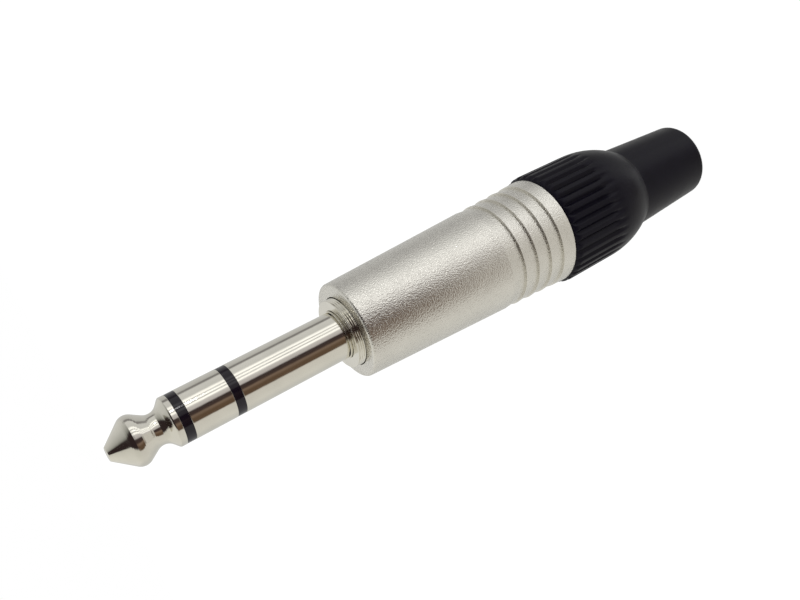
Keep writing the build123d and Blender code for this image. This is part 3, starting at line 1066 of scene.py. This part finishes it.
def card_ramp(tree, cards):
    """Colour ramp once round the plug through the cards' angles."""
    ramp = tree.nodes.new("ShaderNodeValToRGB")
    elements = ramp.color_ramp.elements
    while len(elements) > 1:
        elements.remove(elements[-1])
    for index, (angle, colour) in enumerate(cards):
        position = (angle + 180) / 360
        element = elements[0] if index == 0 else elements.new(position)
        element.position = position
        element.color = (*colour, 1)
    return ramp


def tent_material():
    """Cards that glow by their angle round the plug; neighbouring cards fade into each other.

    The angle is the arc tangent of -x and -y, so it is 0 on the camera's side.
    """
    material, tree, parts = card_material("tent_cards")
    turn = tree.nodes.new("ShaderNodeMath")
    turn.operation = "ARCTAN2"
    for index, axis in enumerate("XY"):
        flip = tree.nodes.new("ShaderNodeMath")
        flip.operation = "MULTIPLY"
        flip.inputs[1].default_value = -1
        tree.links.new(parts[axis], flip.inputs[0])
        tree.links.new(flip.outputs["Value"], turn.inputs[index])
    round_share = share_between(tree, turn.outputs["Value"], -math.pi, math.pi)
    mix = tree.nodes.new("ShaderNodeMix")
    mix.data_type = "RGBA"
    climb = share_between(tree, parts["Z"], CARDS_MEET, CARDS_MEET + CARDS_FADE)
    tree.links.new(climb, mix.inputs["Factor"])
    for cards, side in ((LOW_CARDS, "A_Color"), (HIGH_CARDS, "B_Color")):
        ramp = card_ramp(tree, cards)
        tree.links.new(round_share, ramp.inputs["Fac"])
        entry = next(socket for socket in mix.inputs if socket.identifier == side)
        tree.links.new(ramp.outputs["Color"], entry)
    glow = emission(tree)
    result = next(socket for socket in mix.outputs if socket.identifier == "Result_Color")
    tree.links.new(result, glow.inputs["Color"])
    output = tree.nodes.new("ShaderNodeOutputMaterial")
    tree.links.new(glow.outputs["Emission"], output.inputs["Surface"])
    return material


def add_card(name, material, radius, turn, heights):
    """Upright curved card round the plug, seen only by polished surfaces.

    Its points lie at x = -radius sin(angle) and y = -radius cos(angle), so an angle of 0 is
    the camera's side.
    """
    columns = CARD_COLUMNS
    angle = np.radians(np.linspace(*turn, columns))
    line = np.stack([-radius * np.sin(angle), -radius * np.cos(angle)], axis=1)
    points = [np.column_stack([line, np.full(columns, height)]) for height in heights]
    here = np.arange(columns - 1)
    faces = np.stack([here, here + 1, here + columns + 1, here + columns], axis=-1)
    mesh = bpy.data.meshes.new(name)
    mesh.from_pydata(np.concatenate(points).tolist(), [], faces.tolist())
    mesh.materials.append(material)
    card = add_object(name, mesh)
    card.visible_camera = False
    card.visible_diffuse = False
    card.visible_transmission = False
    card.visible_shadow = False


def fading_glow(name, colour, strength, full, clear):
    """Material that glows in one colour up to one height and fades to clear at another."""
    material, tree, parts = card_material(name)
    glow = emission(tree, colour, strength)
    nothing = tree.nodes.new("ShaderNodeBsdfTransparent")
    fade = share_between(tree, parts["Z"], full, clear)
    surface = mixed(tree, fade, glow.outputs["Emission"], nothing.outputs["BSDF"])
    output = tree.nodes.new("ShaderNodeOutputMaterial")
    tree.links.new(surface, output.inputs["Surface"])
    return material


def floor_material():
    """White paper: mostly its own white to the camera, with the plug's soft shadow on it.

    It is clear from below, so that a view from under the floor still shows the plug.
    """
    material = bpy.data.materials.new("white_paper")
    material.use_nodes = True
    tree = material.node_tree
    shader = tree.nodes["Principled BSDF"]
    shader.inputs["Base Color"].default_value = (PAPER_GREY, PAPER_GREY, PAPER_GREY, 1)
    shader.inputs["Roughness"].default_value = PAPER_ROUGHNESS
    shader.inputs["Specular IOR Level"].default_value = 0.0
    rays = tree.nodes.new("ShaderNodeLightPath")
    share = tree.nodes.new("ShaderNodeMath")
    share.operation = "MULTIPLY"
    share.inputs[1].default_value = GLOW_SHARE
    tree.links.new(rays.outputs["Is Camera Ray"], share.inputs[0])
    glow = emission(tree, (1, 1, 1), PAPER_GLOW)
    paper = mixed(
        tree, share.outputs["Value"], shader.outputs["BSDF"], glow.outputs["Emission"]
    )
    sides = tree.nodes.new("ShaderNodeNewGeometry")
    nothing = tree.nodes.new("ShaderNodeBsdfTransparent")
    surface = mixed(tree, sides.outputs["Backfacing"], paper, nothing.outputs["BSDF"])
    tree.links.new(surface, tree.nodes["Material Output"].inputs["Surface"])
    return material


def add_floor():
    """Plain white floor under the plug, below the bushing's lowest place."""
    signs = ((-1, -1), (1, -1), (1, 1), (-1, 1))
    corners = [(x * FLOOR_HALF, y * FLOOR_HALF, -FLOOR_DROP) for x, y in signs]
    mesh = bpy.data.meshes.new("floor")
    mesh.from_pydata(corners, [], [(0, 1, 2, 3)])
    mesh.materials.append(floor_material())
    floor = add_object("floor", mesh)
    floor.visible_glossy = False


def set_world(level):
    """White to the camera and to polished surfaces; an even fill level to matte ones."""
    world = bpy.data.worlds.new("studio")
    bpy.context.scene.world = world
    world.use_nodes = True
    tree = world.node_tree
    tree.nodes.clear()
    rays = tree.nodes.new("ShaderNodeLightPath")
    seen = rays.outputs["Is Camera Ray"]
    for ray in ("Is Glossy Ray", "Is Transmission Ray"):
        either = tree.nodes.new("ShaderNodeMath")
        either.operation = "MAXIMUM"
        tree.links.new(seen, either.inputs[0])
        tree.links.new(rays.outputs[ray], either.inputs[1])
        seen = either.outputs["Value"]
    fill = tree.nodes.new("ShaderNodeBackground")
    fill.inputs["Strength"].default_value = level
    white = tree.nodes.new("ShaderNodeBackground")
    for background in (fill, white):
        background.inputs["Color"].default_value = (1, 1, 1, 1)
    surface = mixed(tree, seen, fill.outputs["Background"], white.outputs["Background"])
    output = tree.nodes.new("ShaderNodeOutputWorld")
    tree.links.new(surface, output.inputs["Surface"])


def add_lamp(name, direction, power):
    """Wide far lamp for matte surfaces, whose light travels along a direction."""
    lamp = bpy.data.lights.new(name, "SUN")
    lamp.angle = LAMP_WIDTH
    lamp.energy = power
    holder = add_object(name, lamp)
    holder.rotation_mode = "QUATERNION"
    holder.rotation_quaternion = Vector(direction).to_track_quat("-Z", "Y")
    holder.visible_glossy = False
    holder.visible_camera = False


def add_camera(stage):
    """Camera that looks down on the plug, rolled so that its axis crosses the picture."""
    level = math.cos(stage.elevation)
    drop = math.sin(stage.elevation)
    place = Vector((0, -stage.distance * level, stage.aim_height + stage.distance * drop))
    sight = Vector((math.sin(stage.pan) * level, math.cos(stage.pan) * level, -drop))
    down = Vector((0, 0, -1))
    down_axis = (down - sight * down.dot(sight)).normalized()
    across = down_axis.cross(sight)
    right = down_axis * math.cos(stage.roll) - across * math.sin(stage.roll)
    up = down_axis * math.sin(stage.roll) + across * math.cos(stage.roll)
    camera = bpy.data.cameras.new("camera")
    camera.lens = stage.lens
    camera.sensor_width = 36
    camera.clip_start = 0.005
    camera.clip_end = 10
    holder = add_object("camera", camera)
    turn = Matrix((right, up, -sight)).transposed().to_4x4()
    holder.matrix_world = Matrix.Translation(place) @ turn
    bpy.context.scene.camera = holder


class JACK_OT_stage(bpy.types.Operator):
    """Floor, light tent, lamps, world and camera"""

    bl_idname = "jack_plug.stage"
    bl_label = "Stage"

    def execute(self, context):
        stage = context.scene.plug_stage
        context.scene.view_settings.view_transform = "Standard"
        set_world(stage.fill_level)
        add_floor()
        add_card("light_tent", tent_material(), TENT_R, (-180, 180), (TENT_BOTTOM, TENT_TOP))
        near = fading_glow("near_card", NEAR_COLOUR, 1.0, NEAR_FULL, NEAR_HEIGHTS[1])
        add_card("near_card", near, NEAR_R, NEAR_TURN, NEAR_HEIGHTS)
        spot = fading_glow("spot_card", (1, 1, 1), SPOT_POWER, SPOT_HEIGHTS[1], SPOT_CLEAR)
        add_card("spot_card", spot, SPOT_R, SPOT_TURN, SPOT_HEIGHTS)
        add_lamp("key_lamp", KEY_DIRECTION, stage.key_power)
        add_lamp("rim_lamp", RIM_DIRECTION, stage.rim_power)
        add_camera(stage)
        return {"FINISHED"}


class JACK_PT_plug(bpy.types.Panel):
    """Buttons that build the plug's pieces and its stage"""

    bl_idname = "JACK_PT_plug"
    bl_label = "Stereo jack plug"
    bl_space_type = "VIEW_3D"
    bl_region_type = "UI"
    bl_category = "Jack Plug"

    def draw(self, context):
        for operator in OPERATORS:
            self.layout.operator(operator.bl_idname)
        for scene_name in GROUPS:
            group = getattr(context.scene, scene_name)
            box = self.layout.box()
            for name in group.bl_rna.properties.keys():
                if name not in ("rna_type", "name"):
                    box.prop(group, name)


GROUPS = {"plug_sizes": PlugSizes, "plug_finishes": PlugFinishes, "plug_stage": PlugStage}
OPERATORS = (
    JACK_OT_contacts, JACK_OT_washers, JACK_OT_shell, JACK_OT_bushing, JACK_OT_inner_parts,
    JACK_OT_stage,
)


def register():
    """Adds the settings, operators and panel."""
    for entry in (*GROUPS.values(), *OPERATORS, JACK_PT_plug):
        bpy.utils.register_class(entry)
    for name, group in GROUPS.items():
        setattr(bpy.types.Scene, name, PointerProperty(type=group))


def unregister():
    """Takes the settings, operators and panel away again."""
    for name in GROUPS:
        delattr(bpy.types.Scene, name)
    for entry in (JACK_PT_plug, *reversed(OPERATORS), *GROUPS.values()):
        bpy.utils.unregister_class(entry)


def main():
    """Builds every piece and the stage."""
    register()
    bpy.ops.jack_plug.contacts()
    bpy.ops.jack_plug.washers()
    bpy.ops.jack_plug.shell()
    bpy.ops.jack_plug.bushing()
    bpy.ops.jack_plug.inner_parts()
    bpy.ops.jack_plug.stage()


if __name__ == "__main__":
    main()
